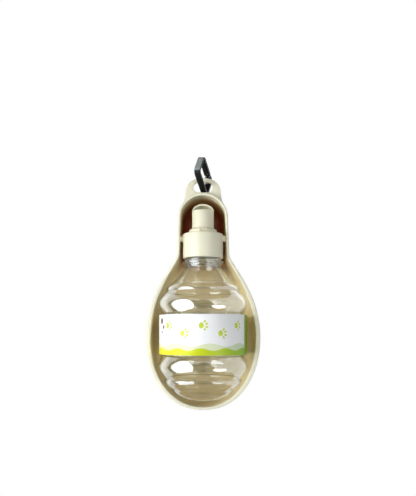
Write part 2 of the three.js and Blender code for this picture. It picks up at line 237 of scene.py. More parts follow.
# inputs are socket names or numbers, each with a link or a value
def addNode(tree, kind, inputs=(), **settings):
    node = tree.nodes.new("ShaderNode" + kind)
    for key, value in settings.items():
        setattr(node, key, value)
    for socket, value in dict(inputs).items():
        if isinstance(value, bpy.types.NodeSocket):
            tree.links.new(value, node.inputs[socket])
        else:
            node.inputs[socket].default_value = value
    return node


def newMaterial(name):
    material = bpy.data.materials.new(name)
    material.use_nodes = True
    tree = material.node_tree
    tree.nodes.clear()
    place = addNode(tree, "TexCoord").outputs["Object"]
    return material, tree, place


def finishMaterial(tree, shader):
    addNode(tree, "OutputMaterial", {"Surface": shader})


def perMm(size):  # noise scale whose features are about this many millimetres
    return 1000 / size


def mouldedAbs(name, colourOf):
    # ABS, injection moulded: opaque and satin, with a fine spark texture that softens its gloss
    material, tree, place = newMaterial(name)
    grain = addNode(tree, "TexNoise", {"Vector": place, "Scale": perMm(0.9), "Detail": 3}).outputs["Fac"]
    satin = addNode(tree, "MapRange", {"Value": grain, "To Min": 0.32, "To Max": 0.46}).outputs["Result"]
    bump = addNode(tree, "Bump", {"Height": grain, "Strength": 0.06, "Distance": 0.0002}).outputs["Normal"]
    shader = addNode(tree, "BsdfPrincipled", {
        "Base Color": colourOf(tree, place), "Roughness": satin, "IOR": 1.53, "Normal": bump})
    finishMaterial(tree, shader.outputs["BSDF"])
    return material


def creamTone(tree, place):  # the faint clouding of a pale moulding
    cloud = addNode(tree, "TexNoise", {"Vector": place, "Scale": perMm(35), "Detail": 2}).outputs["Fac"]
    return addNode(tree, "MixRGB", {
        "Fac": cloud, "Color1": linear("#E6E3C8"), "Color2": linear("#ECEAD4")}).outputs["Color"]


# painted shade for the trough's inside, darker with depth
insidePaintedShade = {  # tones in order of depth, each with the depths in millimetres that it comes in between
    "bowl": (("#E6E3C8", None), ("#EAD49A", (-5.5, 4)), ("#E8DAB0", (10, 36))),
    "neck": (("#E6E3C8", None), ("#C4A062", (-2, 18)), ("#8C4528", (14, 34))),
    "neckFoot": (-34, -12),  # heights between which the neck begins
}


# painted shade: tan deeper in the bowl and brown deep in the neck, in place of the light that goes round
# inside the trough and the shade in the neck
def creamPaintedShadeTone(tree, place):
    g = insidePaintedShade
    axes = addNode(tree, "SeparateXYZ", {"Vector": place})
    shade = {}
    for part in ("bowl", "neck"):
        for colour, depths in g[part]:
            if depths is None:
                shade[part] = linear(colour)
                continue
            depth = addNode(tree, "MapRange", {
                "Value": axes.outputs["Y"], "From Min": depths[0] * mm, "From Max": depths[1] * mm},
                interpolation_type='SMOOTHSTEP').outputs["Result"]
            shade[part] = addNode(tree, "MixRGB", {
                "Fac": depth, "Color1": shade[part], "Color2": linear(colour)}).outputs["Color"]
    low, high = [(height - axisDrop) * mm for height in g["neckFoot"]]
    rise = addNode(tree, "MapRange", {
        "Value": axes.outputs["Z"], "From Min": low, "From Max": high},
        interpolation_type='SMOOTHSTEP').outputs["Result"]
    return addNode(tree, "MixRGB", {
        "Fac": rise, "Color1": shade["bowl"], "Color2": shade["neck"]}).outputs["Color"]


petFinish = {  # the parting line's place in degrees from the front, sizes in millimetres
    "seamTurn": 22.6, "seamWidth": 0.9, "seamRise": 0.35, "ripple": 14, "haze": 0.03,
}


def clearPet():
    # PET, blow moulded: clear and glossy, with the faint waviness of a blown wall and a fine parting line
    g = petFinish
    material, tree, place = newMaterial("clearBlownPet")
    waves = addNode(tree, "TexNoise", {
        "Vector": place, "Scale": perMm(g["ripple"]), "Detail": 1}).outputs["Fac"]
    turned = addNode(tree, "VectorRotate", {
        "Vector": place, "Angle": math.radians(-g["seamTurn"])}, rotation_type='Z_AXIS').outputs["Vector"]
    across = addNode(tree, "SeparateXYZ", {"Vector": turned}).outputs["X"]
    offLine = addNode(tree, "Math", {0: across}, operation='ABSOLUTE').outputs[0]
    seam = addNode(tree, "MapRange", {
        "Value": offLine, "From Min": 0, "From Max": g["seamWidth"] / 2 * mm,
        "To Min": g["seamRise"], "To Max": 0.0}, interpolation_type='SMOOTHSTEP').outputs["Result"]
    height = addNode(tree, "Math", {0: waves, 1: seam}, operation='ADD').outputs[0]
    bump = addNode(tree, "Bump", {"Height": height, "Strength": 0.12, "Distance": 0.0006}).outputs["Normal"]
    haze = addNode(tree, "MapRange", {"Value": waves, "To Min": 0.0, "To Max": g["haze"]}).outputs["Result"]
    glass = addNode(tree, "BsdfPrincipled", {
        "Base Color": linear("#FBFCF8"), "Roughness": haze, "IOR": 1.575, "Transmission Weight": 1.0,
        "Coat Weight": 1.0, "Coat IOR": 1.8, "Coat Roughness": 0.05, "Coat Normal": bump,
        "Normal": bump}).outputs["BSDF"]
    path = addNode(tree, "LightPath")
    passing = addNode(tree, "Math", {  # the lamps' light goes through to the trough
        0: path.outputs["Is Shadow Ray"], 1: path.outputs["Is Diffuse Ray"]}, operation='MAXIMUM').outputs[0]
    clear = addNode(tree, "BsdfTransparent", {"Color": linear("#FFFFFF")}).outputs[0]
    finishMaterial(tree, addNode(tree, "MixShader", {0: passing, 1: glass, 2: clear}).outputs[0])
    return material


printShape = {  # millimetres round the bottle from its front, and up from the label's foot
    "radius": 40.4, "foot": -106.7,  # the same as in labelShape
    "ground": "#F7FAFC", "left": "#F3EC00", "right": "#83B800", "blend": (-52, 46),
    "stripe": (54, 7),  # middle and half width
    "waves": (  # height, swing, length, start, strength of the ink
        (9.0, 1.5, 31, 0.4, 0.45),
        (5.2, 1.1, 22, 2.1, 1.0),
    ),
    "pawStep": 17, "pawRow": (22.5, 3.4),  # spacing, then height and stagger
    "pawSpan": (4, 41), "pawInk": "#C9DB2E",  # middle and half width of the trail
    "pads": (  # place, half width, half height, turn
        (-1.4, 0, 2.1, 2.6, 0),
        (1.5, 3.4, 1.25, 0.85, 50), (3.2, 1.35, 1.35, 0.9, 16),
        (3.2, -1.35, 1.35, 0.9, -16), (1.5, -3.4, 1.25, 0.85, -50),
    ),
    "bubbles": ((-46, 30, 2.6), (-42.5, 24.6, 1.7), (-45.4, 20.2, 1.1)), "bubbleInk": "#6B4A30",
}


def ellipseReach(tree, at, x, y, wide, tall, turn=0):  # 1 on the edge of an ellipse, less inside it
    local = addNode(tree, "Mapping", {
        "Vector": at, "Location": (x, y, 0), "Rotation": (0, 0, math.radians(turn)),
        "Scale": (wide, tall, 1)}, vector_type='TEXTURE').outputs["Vector"]
    return addNode(tree, "VectorMath", {0: local}, operation='LENGTH').outputs["Value"]


def inkedWithin(tree, reaches, edge):  # ink inside any of the ellipses
    nearest = reaches[0]
    for reach in reaches[1:]:
        nearest = addNode(tree, "Math", {0: nearest, 1: reach}, operation='MINIMUM').outputs[0]
    return addNode(tree, "MapRange", {
        "Value": nearest, "From Min": 1 - edge, "From Max": 1 + edge,
        "To Min": 1.0, "To Max": 0.0}).outputs["Result"]


def printedFilm():
    # polypropylene film, gravure printed: flat inks on a smooth white ground with a soft sheen
    g = printShape
    material, tree, place = newMaterial("printedPpFilm")
    axes = addNode(tree, "SeparateXYZ", {"Vector": place})
    front = addNode(tree, "Math", {0: axes.outputs["Y"], 1: -1}, operation='MULTIPLY').outputs[0]
    turn = addNode(tree, "Math", {0: axes.outputs["X"], 1: front}, operation='ARCTAN2').outputs[0]
    along = addNode(tree, "Math", {0: turn, 1: g["radius"]}, operation='MULTIPLY').outputs[0]
    up = addNode(tree, "Math", {
        0: axes.outputs["Z"], 1: 1 / mm, 2: axisDrop - g["foot"]}, operation='MULTIPLY_ADD').outputs[0]
    across = addNode(tree, "MapRange", {
        "Value": along, "From Min": g["blend"][0], "From Max": g["blend"][1]}).outputs["Result"]
    fresh = addNode(tree, "MixRGB", {
        "Fac": across, "Color1": linear(g["left"]), "Color2": linear(g["right"])}).outputs["Color"]
    onStripe = addNode(tree, "Math", {
        0: along, 1: g["stripe"][0], 2: g["stripe"][1]}, operation='COMPARE').outputs[0]
    inks = addNode(tree, "MixRGB", {
        "Fac": onStripe, "Color1": linear(g["ground"]), "Color2": linear(g["right"])}).outputs["Color"]
    cell = addNode(tree, "Math", {
        0: along, 1: g["pawStep"] / 2, 2: -g["pawStep"] / 2}, operation='WRAP').outputs[0]
    pair = addNode(tree, "Math", {0: along, 1: g["pawStep"], 2: -g["pawStep"]}, operation='WRAP').outputs[0]
    outer = addNode(tree, "Math", {0: pair, 1: 0, 2: g["pawStep"] / 2}, operation='COMPARE').outputs[0]
    middle, stagger = g["pawRow"]
    row = addNode(tree, "MapRange", {
        "Value": outer, "To Min": middle - stagger, "To Max": middle + stagger}).outputs["Result"]
    lift = addNode(tree, "Math", {0: up, 1: row}, operation='SUBTRACT').outputs[0]
    pawPlace = addNode(tree, "CombineXYZ", {"X": cell, "Y": lift}).outputs["Vector"]
    paws = inkedWithin(tree, [ellipseReach(tree, pawPlace, *pad) for pad in g["pads"]], 0.07)
    onTrail = addNode(tree, "Math", {
        0: along, 1: g["pawSpan"][0], 2: g["pawSpan"][1]}, operation='COMPARE').outputs[0]
    trail = addNode(tree, "Math", {0: paws, 1: onTrail}, operation='MULTIPLY').outputs[0]
    inks = addNode(tree, "MixRGB", {
        "Fac": trail, "Color1": inks, "Color2": linear(g["pawInk"])}).outputs["Color"]
    flat = addNode(tree, "CombineXYZ", {"X": along, "Y": up}).outputs["Vector"]
    dots = inkedWithin(tree, [ellipseReach(tree, flat, x, y, r, r) for x, y, r in g["bubbles"]], 0.05)
    inks = addNode(tree, "MixRGB", {
        "Fac": dots, "Color1": inks, "Color2": linear(g["bubbleInk"])}).outputs["Color"]
    for height, swing, length, start, strength in g["waves"]:
        phase = addNode(tree, "Math", {
            0: along, 1: 2 * math.pi / length, 2: start}, operation='MULTIPLY_ADD').outputs[0]
        wave = addNode(tree, "Math", {0: phase}, operation='SINE').outputs[0]
        crest = addNode(tree, "Math", {0: wave, 1: swing, 2: height}, operation='MULTIPLY_ADD').outputs[0]
        under = addNode(tree, "Math", {0: crest, 1: up}, operation='SUBTRACT').outputs[0]
        ink = addNode(tree, "MapRange", {
            "Value": under, "From Min": -0.1, "From Max": 0.1,
            "To Min": 0.0, "To Max": strength}).outputs["Result"]
        inks = addNode(tree, "MixRGB", {"Fac": ink, "Color1": inks, "Color2": fresh}).outputs["Color"]
    sheen = addNode(tree, "TexNoise", {"Vector": place, "Scale": perMm(3)}).outputs["Fac"]
    rough = addNode(tree, "MapRange", {"Value": sheen, "To Min": 0.3, "To Max": 0.4}).outputs["Result"]
    shader = addNode(tree, "BsdfPrincipled", {"Base Color": inks, "Roughness": rough, "IOR": 1.49})
    finishMaterial(tree, shader.outputs["BSDF"])
    return material


endPaintedHighlight = {  # painted highlight on the end: the end's outward direction, how near to it a face lies, heights over the hang hole, greys
    "outward": (-0.235, -0.841, 0.487), "facing": (0.75, 0.96), "heights": (6, 13),
    "highlightGreys": ("#77838A", "#B0BABD"),
}


def blackAluminium():
    # aluminium, black anodised: dark, with fine drawing lines, and a painted highlight of lighter grey on the
    # end faces that look up and forward towards the light
    g = endPaintedHighlight
    material, tree, place = newMaterial("blackAnodisedAluminium")
    lines = addNode(tree, "TexNoise", {"Vector": place, "Scale": perMm(0.7), "Detail": 4}).outputs["Fac"]
    dark = addNode(tree, "MixRGB", {"Fac": lines, "Color1": linear("#060708"), "Color2": linear("#121314")})
    highlightGrey = addNode(tree, "MixRGB", {
        "Fac": lines, "Color1": linear(g["highlightGreys"][0]), "Color2": linear(g["highlightGreys"][1])})
    normal = addNode(tree, "TexCoord").outputs["Normal"]
    side = addNode(tree, "VectorMath", {0: normal, 1: g["outward"]}, operation='DOT_PRODUCT').outputs["Value"]
    onFace = addNode(tree, "MapRange", {
        "Value": side, "From Min": g["facing"][0], "From Max": g["facing"][1]},
        interpolation_type='SMOOTHSTEP').outputs["Result"]
    high = addNode(tree, "MapRange", {
        "Value": addNode(tree, "SeparateXYZ", {"Vector": place}).outputs["Z"],
        "From Min": g["heights"][0] * mm, "From Max": g["heights"][1] * mm}).outputs["Result"]
    # painted highlight: only the end faces that look the given way, above the given height
    highlightMask = addNode(tree, "Math", {0: onFace, 1: high}, operation='MULTIPLY').outputs[0]
    colour = addNode(tree, "MixRGB", {
        "Fac": highlightMask, "Color1": dark.outputs["Color"], "Color2": highlightGrey.outputs["Color"]})
    rough = addNode(tree, "MapRange", {"Value": lines, "To Min": 0.36, "To Max": 0.5}).outputs["Result"]
    bump = addNode(tree, "Bump", {"Height": lines, "Strength": 0.1, "Distance": 0.0001}).outputs["Normal"]
    shader = addNode(tree, "BsdfPrincipled", {
        "Base Color": colour.outputs["Color"], "Metallic": 0.3, "Roughness": rough,
        "Specular IOR Level": 0.2, "Normal": bump})
    finishMaterial(tree, shader.outputs["BSDF"])
    return material


def springSteel():
    # steel wire and rivet, drawn bright: grey, with streaks of polish
    material, tree, place = newMaterial("drawnSteel")
    streak = addNode(tree, "TexNoise", {"Vector": place, "Scale": perMm(0.5)}).outputs["Fac"]
    rough = addNode(tree, "MapRange", {"Value": streak, "To Min": 0.22, "To Max": 0.4}).outputs["Result"]
    shader = addNode(tree, "BsdfPrincipled", {
        "Base Color": linear("#6E7072"), "Metallic": 1.0, "Roughness": rough})
    finishMaterial(tree, shader.outputs["BSDF"])
    return material


def softSilicone():
    # silicone rubber, moulded: milky and matt, with a faint bloom
    material, tree, place = newMaterial("mouldedSilicone")
    bloom = addNode(tree, "TexNoise", {"Vector": place, "Scale": perMm(2)}).outputs["Fac"]
    colour = addNode(tree, "MixRGB", {
        "Fac": bloom, "Color1": linear("#D2D2CC"), "Color2": linear("#DEDED9")})
    shader = addNode(tree, "BsdfPrincipled", {
        "Base Color": colour.outputs["Color"], "Roughness": 0.65, "IOR": 1.41})
    finishMaterial(tree, shader.outputs["BSDF"])
    return material


cream = mouldedAbs("creamMouldedAbs", creamTone)
# the inside of the trough, with painted shade that darkens with depth
paintedShadeCreamAbs = mouldedAbs("creamMouldedAbsInsidePaintedShade", creamPaintedShadeTone)
pet, film = clearPet(), printedFilm()
black, steel, silicone = blackAluminium(), springSteel(), softSilicone()
print("materials:", len(bpy.data.materials))


# trough

troughShape = {
    "rimY": -6.5, "backY": 44, "wall": 2.2, "draft": 0.03,
    "archHeight": 18.8, "archRadius": 20.7, "neckFoot": (21.7, -14),
    "neckBend": ((21.8, -18.6), (24.4, -22.5)), "hip": (26.9, -26.7),
    "shoulderBend": ((39.7, -48), (48.4, -69)), "widest": (48.4, -91),
    "bowlLength": 64, "bowlFullness": 0.58,
    "rimNeck": 2.4, "rimBowl": 4.2, "rimDepth": 4.2, "rimLip": 1.2,  # width and depth of the rolled rim
    "rimCorners": (0.8, 0.6, 1.3, 1.0),  # roundings, from under the rim over to the inside
    "neckCorner": 9, "bowlCorner": 28, "cornerSteps": 12,  # roundings between the walls and the back
    "bowlBlend": (18, 42),  # where under the axis the neck starts to turn into the bowl, and for how long
    "pivotHole": 3.2, "pivotCut": (22, 12),  # radius, then middle and length of the drill
    "steps": (40, 10, 12, 26, 44),  # arch, neck, neck bend, shoulder, bowl
}


def rimStations():  # points round the cavity's edge, with the outward direction at each
    t = troughShape
    wide, wideHeight = t["widest"]
    foot = wideHeight - t["bowlLength"]
    full = t["bowlFullness"]
    curves = [
        (t["neckFoot"], *t["neckBend"], t["hip"]),
        (t["hip"], *t["shoulderBend"], t["widest"]),
        (t["widest"], (wide, wideHeight - full * t["bowlLength"]), (full * wide, foot), (0, foot)),
    ]
    right = []
    for i in range(t["steps"][0]):
        a = math.pi / 2 * (1 - i / t["steps"][0])
        outX, outZ = math.cos(a), math.sin(a)
        right.append((t["archRadius"] * outX, t["archHeight"] + t["archRadius"] * outZ, outX, outZ))
    top, low = Vector((t["archRadius"], t["archHeight"])), Vector(t["neckFoot"])
    along = (low - top).normalized()
    for i in range(t["steps"][1]):
        at = top.lerp(low, i / t["steps"][1])
        right.append((at.x, at.y, -along.y, along.x))
    for curve, steps in zip(curves, t["steps"][2:]):
        for i in range(steps):
            at, along = bezier(*curve, i / steps)
            right.append((at.x, at.y, -along.y, along.x))
    right.append((0, foot, 0, -1))
    left = [(-x, z, -outX, outZ) for x, z, outX, outZ in reversed(right[1:-1])]
    return right + left


def wallSection(station):  # (inset, y) from the flat back, up the outside, over the rim and down the inside
    t = troughShape
    z, outX = station[1:3]
    start, run = t["bowlBlend"]
    f = min(max((-z - start) / run, 0), 1)
    bowl = f * f * (3 - 2 * f)
    corner = t["neckCorner"] + (t["bowlCorner"] - t["neckCorner"]) * bowl
    rim = t["rimNeck"] + (t["rimBowl"] - t["rimNeck"]) * bowl * abs(outX)
    bend = t["backY"] - corner
    lean = t["draft"] * (bend - t["rimY"])
    arcs = []
    for radius in (corner + t["wall"], corner):
        turns = [math.pi / 2 * (1 - k / t["cornerSteps"]) for k in range(t["cornerSteps"] + 1)]
        arcs.append([(lean + corner - radius * math.cos(a), bend + radius * math.sin(a)) for a in turns])
    front = t["rimY"]
    under, outer, upper, inner = t["rimCorners"]
    bead = roundedLine([
        arcs[0][-1],
        (-t["wall"], front + t["rimDepth"], under), (-rim, front + t["rimDepth"] - t["rimLip"], outer),
        (-rim, front, upper), (0, front, inner),
        arcs[1][-1],
    ])
    return arcs[0] + [tuple(p) for p in bead[1:-1]] + arcs[1][::-1]


lugShape = {
    "frontY": -1.2, "thick": 2.8, "flare": (20.8, 28.4), "flareBend": ((19.2, 33.2), (16.8, 37)),
    "shoulder": (16.8, 42), "crownBend": ((16.8, 51), (10.5, 57)), "top": 57,
    "hole": (9, 4.6), "rim": 0.7,  # half width and half height of the hole, and the rounding of the edges
    "holeCut": (-10, 20),  # start and length of the cutter
    "steps": (20, 30, 40, 24),  # flare, crown, foot, each end of the hole
}


def hangLug():
    t, g = troughShape, lugShape
    flareSteps, crownSteps, footSteps, holeSteps = g["steps"]
    flareLine = (g["flare"], *g["flareBend"], g["shoulder"])
    crownLine = (g["shoulder"], *g["crownBend"], (0, g["top"]))
    flare = [bezier(*flareLine, k / flareSteps)[0] for k in range(flareSteps)]
    crown = [bezier(*crownLine, k / crownSteps)[0] for k in range(crownSteps + 1)]
    right = [(p.x, p.y) for p in flare + crown]
    left = [(-x, z) for x, z in reversed(right[:-1])]
    root = t["archRadius"] + t["wall"] / 2  # the foot is buried in the arch wall
    start = math.atan2(g["flare"][1] - t["archHeight"], g["flare"][0])
    turns = [math.pi - start - (math.pi - 2 * start) * k / footSteps for k in range(footSteps + 1)]
    foot = [(root * math.cos(a), t["archHeight"] + root * math.sin(a)) for a in turns]
    plate = outlinedFace("lug", [(x, g["frontY"], z) for x, z in right + left + foot])
    thicken(plate, g["thick"])
    halfWidth, halfHeight = g["hole"]
    cutStart, cutLength = g["holeCut"]
    hole = []
    for side in (1, -1):  # the right end from its top down, then the left end from its foot up
        middle = side * (halfWidth - halfHeight)
        for k in range(holeSteps + 1):
            a = side * (math.pi / 2 - math.pi * k / holeSteps)
            across, up = side * halfHeight * math.cos(a), halfHeight * math.sin(a)
            hole.append((middle + across, cutStart, axisDrop + up))
    drift = outlinedFace("drift", hole)
    thicken(drift, cutLength)
    addBody(plate, drift, 'DIFFERENCE')
    roundEdges(plate, g["rim"], 4, 50)
    return plate


def makeTrough():
    t = troughShape
    stations = rimStations()
    sections = [wallSection(s) for s in stations]
    rings = []
    for k in range(len(sections[0])):
        ring = []
        for (x, z, outX, outZ), section in zip(stations, sections):
            inset, y = section[k]
            ring.append((x - outX * inset, y, z - outZ * inset))
        rings.append(ring)
    inside = len(rings) - t["cornerSteps"] - 3  # the ring where the rim turns into the cavity
    piece = outlinedFace("troughMoulding", rings[0])
    # the outside and rim take the cream, the inside faces take the cream with painted shade
    wear(piece, cream, paintedShadeCreamAbs)
    editAll(piece)
    shell = bmesh.from_edit_mesh(piece.data)
    place = shell.verts.layers.int.new("place")
    for i, vertex in enumerate(shell.verts):
        vertex[place] = i
    for k, ring in enumerate(rings[1:]):  # draws the face up the outside, over the rim, down to the floor
        bpy.ops.mesh.extrude_region_move(TRANSFORM_OT_translate={"value": (0, 0, 0)})
        shell = bmesh.from_edit_mesh(piece.data)
        place = shell.verts.layers.int["place"]
        for vertex in shell.verts:
            if vertex.select:
                vertex.co = spot(*ring[vertex[place]])
                for face in vertex.link_faces:
                    face.material_index = int(k >= inside)
    bpy.ops.mesh.select_all(action='SELECT')
    bpy.ops.mesh.normals_make_consistent(inside=False)
    bpy.ops.object.mode_set(mode='OBJECT')
    addBody(piece, hangLug())
    middle, length = t["pivotCut"]
    for side in (-1, 1):
        addBody(piece, rod(t["pivotHole"], length, (side * middle, 0, 0), 'x'), 'DIFFERENCE')
    return smoothed(piece, 32)


trough = makeTrough()
print("trough:", len(trough.data.polygons), "faces")


# screw cap with its trunnions and spout, and the nozzle on it

capShape = {
    "outer": 18.64, "bore": 16.4, "bottom": -18.5, "top": 4.2, "ceiling": 1.8,
    "spout": (8, 5.2, 18), "groove": (6.7, 12.6, 14.8),  # outer, bore and top; floor, foot and top
    "plug": (2.9, 21), "web": (1.4, 6.2),  # radius and top; thickness and height of what carries the plug
    "trunnion": 2.9, "trunnionReach": 23.7, "softEdge": 0.4,
}


def makeCap():
    c = capShape
    spoutOuter, spoutBore, spoutTop = c["spout"]
    floor, low, high = c["groove"]
    piece = spunPiece("capMoulding", roundedLine([
        (c["bore"], c["bottom"]), (c["outer"], c["bottom"], 0.5),
        (c["outer"], c["top"], 1.4), (spoutOuter, c["top"], 0.5),
        (spoutOuter, low), (floor, low), (floor, high), (spoutOuter, high),
        (spoutOuter, spoutTop, 0.5), (spoutBore, spoutTop), (spoutBore, c["ceiling"]),
        (c["bore"], c["ceiling"], 0.6), (c["bore"], c["bottom"]),
    ]))
    plugRadius, plugTop = c["plug"]
    plugHeight = plugTop - c["ceiling"]
    addBody(piece, rod(plugRadius, plugHeight, (0, 0, c["ceiling"] + plugHeight / 2), 'z', c["softEdge"]))
    thick, tall = c["web"]
    addBody(piece, block((spoutBore * 2 + 1, thick, tall), (0, 0, c["ceiling"] + tall / 2)))
    root = (c["bore"] + c["outer"]) / 2
    reach = c["trunnionReach"] - root
    for side in (-1, 1):
        addBody(piece, rod(c["trunnion"], reach, (side * (root + reach / 2), 0, 0), 'x', c["softEdge"]))
    return smoothed(piece)


nozzleShape = {
    "flange": 12.9, "foot": 10.6, "outer": 10.1, "bore": 8.8, "bottom": 4.5, "flangeTop": (7.7, 8.9),
    "lip": 25.5, "dome": 32.3, "shell": 1.4, "floor": (20, 21.8, 3.3), "hoodY": -1.5,
    "key": ((-2.9, 1.6), (0, 1.8), (2.9, 1.6)),  # middle and width of each block on the front of the flange
    "keySize": (3.2, 2.4), "keyPlace": (0.2, -1.0), "keyEdge": 0.25, "softEdge": 0.25,
}


def domeLine(radius, top, steps=16):
    lip = nozzleShape["lip"]
    turns = [math.pi / 2 * k / steps for k in range(steps)]
    return [(radius * math.cos(a), lip + (top - lip) * math.sin(a)) for a in turns] + [(0, top)]


def makeNozzle():
    n = nozzleShape
    floorLow, floorTop, floorHole = n["floor"]
    edge, root = n["flangeTop"]  # at the flange's edge and where it meets the sleeve
    inner = n["outer"] - n["shell"]
    piece = spunPiece("nozzleMoulding", roundedLine([
        *domeLine(inner, n["dome"] - n["shell"])[::-1],
        (inner, floorTop), (floorHole, floorTop), (floorHole, floorLow), (n["bore"], floorLow),
        (n["bore"], n["bottom"]), (n["flange"], n["bottom"], 0.5), (n["flange"], edge, 0.6),
        (n["foot"], root, 0.6), (n["outer"], root + 1.2, 0.6),
        *domeLine(n["outer"], n["dome"]),
    ]))
    deep, tall = n["keySize"]
    inward, down = n["keyPlace"]  # from the flange's front and from its top edge
    for x, width in n["key"]:
        addBody(piece, block((width, deep, tall), (x, inward - n["flange"], edge + down), n["keyEdge"]))
    reach = n["flange"] + 1
    mouth = block((reach * 2, reach, reach), (0, n["hoodY"] - reach / 2, n["lip"] + reach / 2))
    editAll(mouth)
    bpy.ops.mesh.subdivide(number_cuts=6)  # small faces, so that the cut leaves no large bent one
    bpy.ops.object.mode_set(mode='OBJECT')
    addBody(piece, mouth, 'DIFFERENCE')
    roundEdges(piece, n["softEdge"], 2, 60)
    return smoothed(piece)


cap = makeCap()
nozzle = makeNozzle()
print("cap and nozzle:", len(cap.data.polygons), len(nozzle.data.polygons), "faces")


# bottle and label

bottleShape = {
    "wall": 0.9, "base": -148, "punt": 4, "stand": (5, 2.5),  # how far inside the foot it bends and stands
    "footBowl": ((17.8, -147.6), (29.2, -138), 2.5),  # lower end, upper end, swell of the middle
    "lowerRing": ((31.9, -136.8), (35.8, -130.2), 0.8),
    "lowerBulge": ((35.2, -129.2), (37.6, -107.4), 4.7),
    "label": (39.7, -106, -71.7), "labelStep": (1.4, 0.9),  # radius, foot and top; step at each end
    "upperBulge": ((37.6, -70.3), (35.2, -49.9), 4.6),
    "upperRing": ((34.4, -49.2), (29.4, -42), 1.7),
    "cone": ((28.4, -41.2), (17, -27.6), -0.5),
    "neckRing": (19.2, -23.6, -21.5), "flare": (17, -19.3), "neck": (15, 13.2), "neckWall": 1.5,
}


def ringLine(low, high, swell, steps):
    line = []
    for k in range(steps + 1):
        f = k / steps
        radius = low[0] + (high[0] - low[0]) * f + swell * math.sin(math.pi * f)
        line.append((radius, low[1] + (high[1] - low[1]) * f))
    return line


def makeBottle():
    b = bottleShape
    foot = b["footBowl"][0][0]
    bend, stand = [foot - inward for inward in b["stand"]]
    labelRadius, labelFoot, labelTop = b["label"]
    stepIn, stepOff = b["labelStep"]
    body = roundedLine([
        (0, b["base"] + b["punt"]), (bend, b["base"] + b["punt"] * 0.5, 3), (stand, b["base"], 1.2),
        *ringLine(*b["footBowl"], 14), *ringLine(*b["lowerRing"], 8), *ringLine(*b["lowerBulge"], 18),
        (labelRadius - stepIn, labelFoot - stepOff, 0.5), (labelRadius, labelFoot, 0.6),
        (labelRadius, labelTop, 0.6), (labelRadius - stepIn, labelTop + stepOff, 0.5),
        *ringLine(*b["upperBulge"], 18), *ringLine(*b["upperRing"], 8), *ringLine(*b["cone"], 8),
    ])
    ring, ringLow, ringHigh = b["neckRing"]
    flare, flareHeight = b["flare"]
    neck, bore = b["neck"]
    top = roundedLine([
        body[-1], (flare, ringLow - 0.6, 0.6), (ring, ringLow, 0.6), (ring, ringHigh, 0.6),
        (flare, ringHigh + 0.4, 0.4), (flare, flareHeight, 0.6), (neck, flareHeight), (neck, 0, 0.5),
        (bore, 0, 0.5), (bore, flareHeight + 0.6, 1),
        (flare - b["neckWall"], flareHeight - 1.2, 1), (flare - b["neckWall"], ringLow - 2),
    ])
    inside = []
    for i, here in enumerate(body):  # the same line, moved in by the wall
        before, after = body[max(i - 1, 0)], body[min(i + 1, len(body) - 1)]
        along = (after - before).normalized()
        inside.append((0 if i == 0 else here.x - along.y * b["wall"], here.y + along.x * b["wall"]))
    return smoothed(spunPiece("petBottle", body + top[1:] + [Vector(p) for p in inside[::-1]], 128), 50)


labelShape = {  # the lap is in degrees
    "inner": 40.0, "outer": 40.4, "top": -71, "foot": -106.7, "lap": 14, "lapRise": 0.15,
}


def makeLabel():
    g = labelShape
    line = roundedLine([
        (g["inner"], g["foot"]), (g["outer"], g["foot"], 0.15), (g["outer"], g["top"], 0.15),
        (g["inner"], g["top"]), (g["inner"], g["foot"]),
    ], 2)
    piece = spunPiece("wrapLabel", line, 180)
    editAll(piece)
    bpy.ops.mesh.select_all(action='DESELECT')
    bpy.ops.mesh.select_mode(type='FACE')
    sleeve = bmesh.from_edit_mesh(piece.data)
    for face in sleeve.faces:  # the overlapped end, at the back
        middle = face.calc_center_median()
        turn = math.degrees(math.atan2(middle.x, middle.y))
        outside = face.normal.dot((middle.x, middle.y, 0)) > 0.9 * g["outer"] * mm
        face.select = outside and 0 < turn < g["lap"]
    bmesh.update_edit_mesh(piece.data)
    bpy.ops.mesh.extrude_region_shrink_fatten(TRANSFORM_OT_shrink_fatten={"value": g["lapRise"] * mm})
    bpy.ops.object.mode_set(mode='OBJECT')
    return smoothed(piece)


bottle = makeBottle()
label = makeLabel()
print("bottle and label:", len(bottle.data.polygons), len(label.data.polygons), "faces")


# carabiner

carabinerLoop = dressedCopy("carabiner_body", "carabinerLoop", 0.5)
carabinerGate = dressedCopy("carabiner_gate", "carabinerGate", 0.4)
print("carabiner:", len(carabinerLoop.data.polygons), "faces")


# finishes and bodies

looks = [
    (trough, (cream, paintedShadeCreamAbs), "trough", "trough", "cream_plastic"),
    (cap, (cream,), "cap", "screw_cap", "cream_plastic"),
    (nozzle, (cream,), "nozzle", "nozzle", "cream_plastic"),
    (bottle, (pet,), "bottle", "bottle", "clear_pet"),
    (label, (film,), "bottle", "label", "label_film"),
    (carabinerLoop, (black,), "carabiner", "carabiner_body", "black_aluminium"),
    (carabinerGate, (black,), "gate", "carabiner_gate", "black_aluminium"),
]
for piece, finishes, body, node, slot in looks:
    wear(piece, *finishes)
    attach(piece, body)
    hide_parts(node)
kept = {"nozzle_o_ring": silicone, "sealing_washer": silicone, "gate_pin": steel, "gate_spring": steel}
for node, material in kept.items():
    nodes[node].material_slots[0].material = material
print("finishes on", len(looks), "pieces and", len(kept), "nodes")


# stage, light and camera

